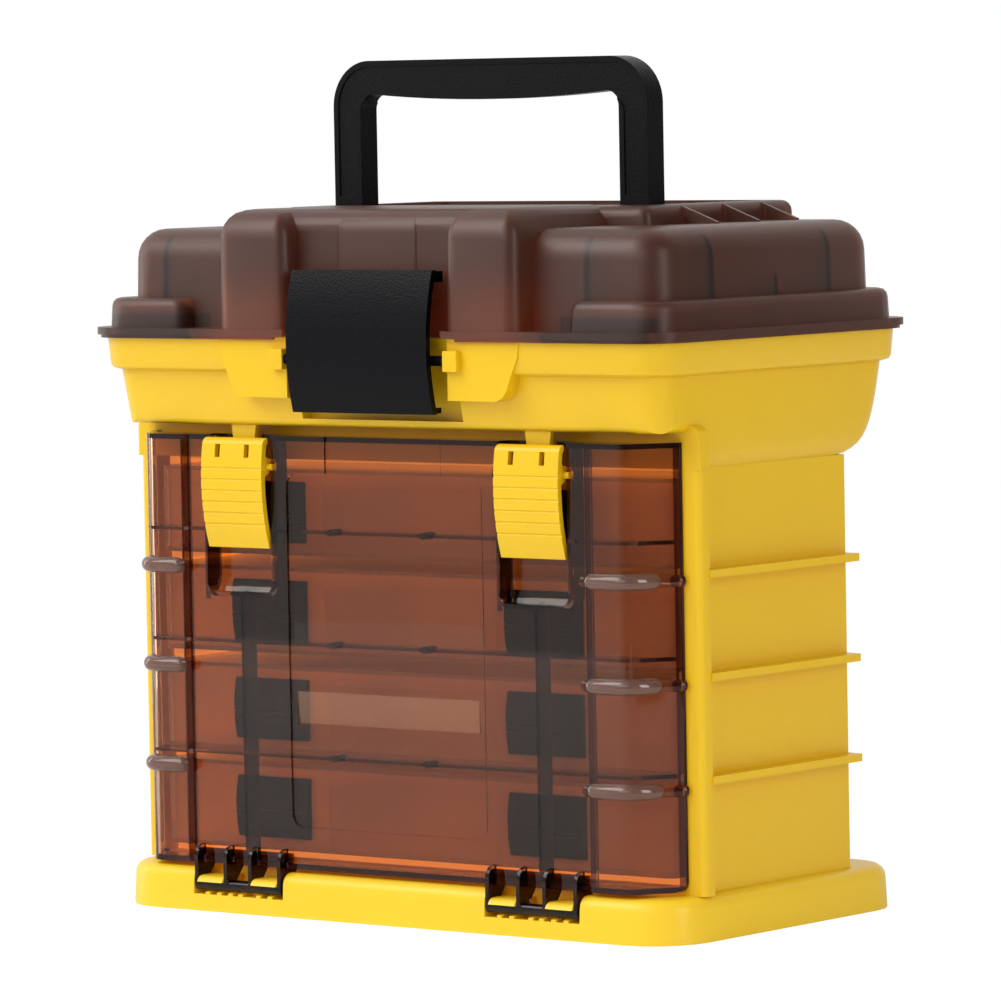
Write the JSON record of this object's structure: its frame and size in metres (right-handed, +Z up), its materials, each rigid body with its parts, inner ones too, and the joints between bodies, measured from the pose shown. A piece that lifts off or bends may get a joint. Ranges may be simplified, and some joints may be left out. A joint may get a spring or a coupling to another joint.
{
  "type": "fishing tackle cabinet",
  "caption": "Upright tackle cabinet with a lidded top bin, a folding carry handle and organiser boxes behind a latched drop-down door.",
  "frame": {"origin": "middle of the underside of the plinth, under the middle of the bounding box", "axes": "+X to the right seen from the front, +Y to the rear, +Z up"},
  "size_m": [0.27, 0.1644, 0.313],
  "materials": {
    "yellow_plastic": "satin",
    "smoked_frosted_plastic": "frosted",
    "smoked_clear_plastic": "gloss",
    "black_plastic": "satin",
    "clear_plastic": "gloss",
    "steel": "satin"
  },
  "bodies": {
    "cabinet": {"base_plinth": "yellow_plastic", "cabinet_shell": "yellow_plastic", "top_bin": "yellow_plastic", "lid_hinge_pins": "steel"},
    "lid": {"lid_cover": "smoked_frosted_plastic"},
    "handle": {"carry_handle": "black_plastic"},
    "main_latch_body": {"main_latch": "black_plastic"},
    "door": {"drop_door": "smoked_clear_plastic"},
    "door_latch_left_body": {"door_latch_left": "yellow_plastic"},
    "door_latch_right_body": {"door_latch_right": "yellow_plastic"},
    "box_1": {"box_1_tray": "clear_plastic", "box_1_cover": "clear_plastic", "box_1_latch_left": "black_plastic", "box_1_latch_right": "black_plastic", "box_1_dividers": "clear_plastic"},
    "box_2": {"box_2_tray": "clear_plastic", "box_2_cover": "clear_plastic", "box_2_latch_left": "black_plastic", "box_2_latch_right": "black_plastic", "box_2_dividers": "clear_plastic"},
    "box_3": {"box_3_tray": "clear_plastic", "box_3_cover": "clear_plastic", "box_3_latch_left": "black_plastic", "box_3_latch_right": "black_plastic", "box_3_dividers": "clear_plastic"},
    "box_4": {"box_4_tray": "clear_plastic", "box_4_cover": "clear_plastic", "box_4_latch_left": "black_plastic", "box_4_latch_right": "black_plastic", "box_4_dividers": "clear_plastic"}
  },
  "joints": [
    {"name": "lid_hinge", "type": "hinge", "parent": "cabinet", "child": "lid", "pos_m": [0, 0.0792, 0.2123], "axis": [-1, 0, 0], "range_deg": [0, 100]},
    {"name": "handle_pivot", "type": "hinge", "parent": "lid", "child": "handle", "pos_m": [0, 0.0018, 0.2505], "axis": [-1, 0, 0], "range_deg": [0, 90]},
    {"name": "main_latch_pivot", "type": "hinge", "parent": "cabinet", "child": "main_latch_body", "pos_m": [0, -0.0763, 0.2052], "axis": [1, 0, 0], "range_deg": [0, 30]},
    {"name": "door_hinge", "type": "hinge", "parent": "cabinet", "child": "door", "pos_m": [0, -0.071, 0.0098], "axis": [1, 0, 0], "range_deg": [0, 90]},
    {"name": "door_latch_left_pivot", "type": "hinge", "parent": "door", "child": "door_latch_left_body", "pos_m": [-0.0686, -0.0674, 0.165], "axis": [-1, 0, 0], "range_deg": [0, 20]},
    {"name": "door_latch_right_pivot", "type": "hinge", "parent": "door", "child": "door_latch_right_body", "pos_m": [0.0686, -0.0674, 0.165], "axis": [-1, 0, 0], "range_deg": [0, 20]},
    {"name": "box_1_slide", "type": "slide", "parent": "cabinet", "child": "box_1", "axis": [0, -1, 0], "range_m": [0, 0.0165]},
    {"name": "box_2_slide", "type": "slide", "parent": "cabinet", "child": "box_2", "axis": [0, -1, 0], "range_m": [0, 0.0786]},
    {"name": "box_3_slide", "type": "slide", "parent": "cabinet", "child": "box_3", "axis": [0, -1, 0], "range_m": [0, 0.0786]},
    {"name": "box_4_slide", "type": "slide", "parent": "cabinet", "child": "box_4", "axis": [0, -1, 0], "range_m": [0, 0.0786]}
  ],
  "couplings": [
    {"joint": "box_1_slide", "follows": "door_hinge", "m_per_rad": 0.0105},
    {"joint": "box_2_slide", "follows": "door_hinge", "m_per_rad": 0.05},
    {"joint": "box_3_slide", "follows": "door_hinge", "m_per_rad": 0.05},
    {"joint": "box_4_slide", "follows": "door_hinge", "m_per_rad": 0.05}
  ]
}
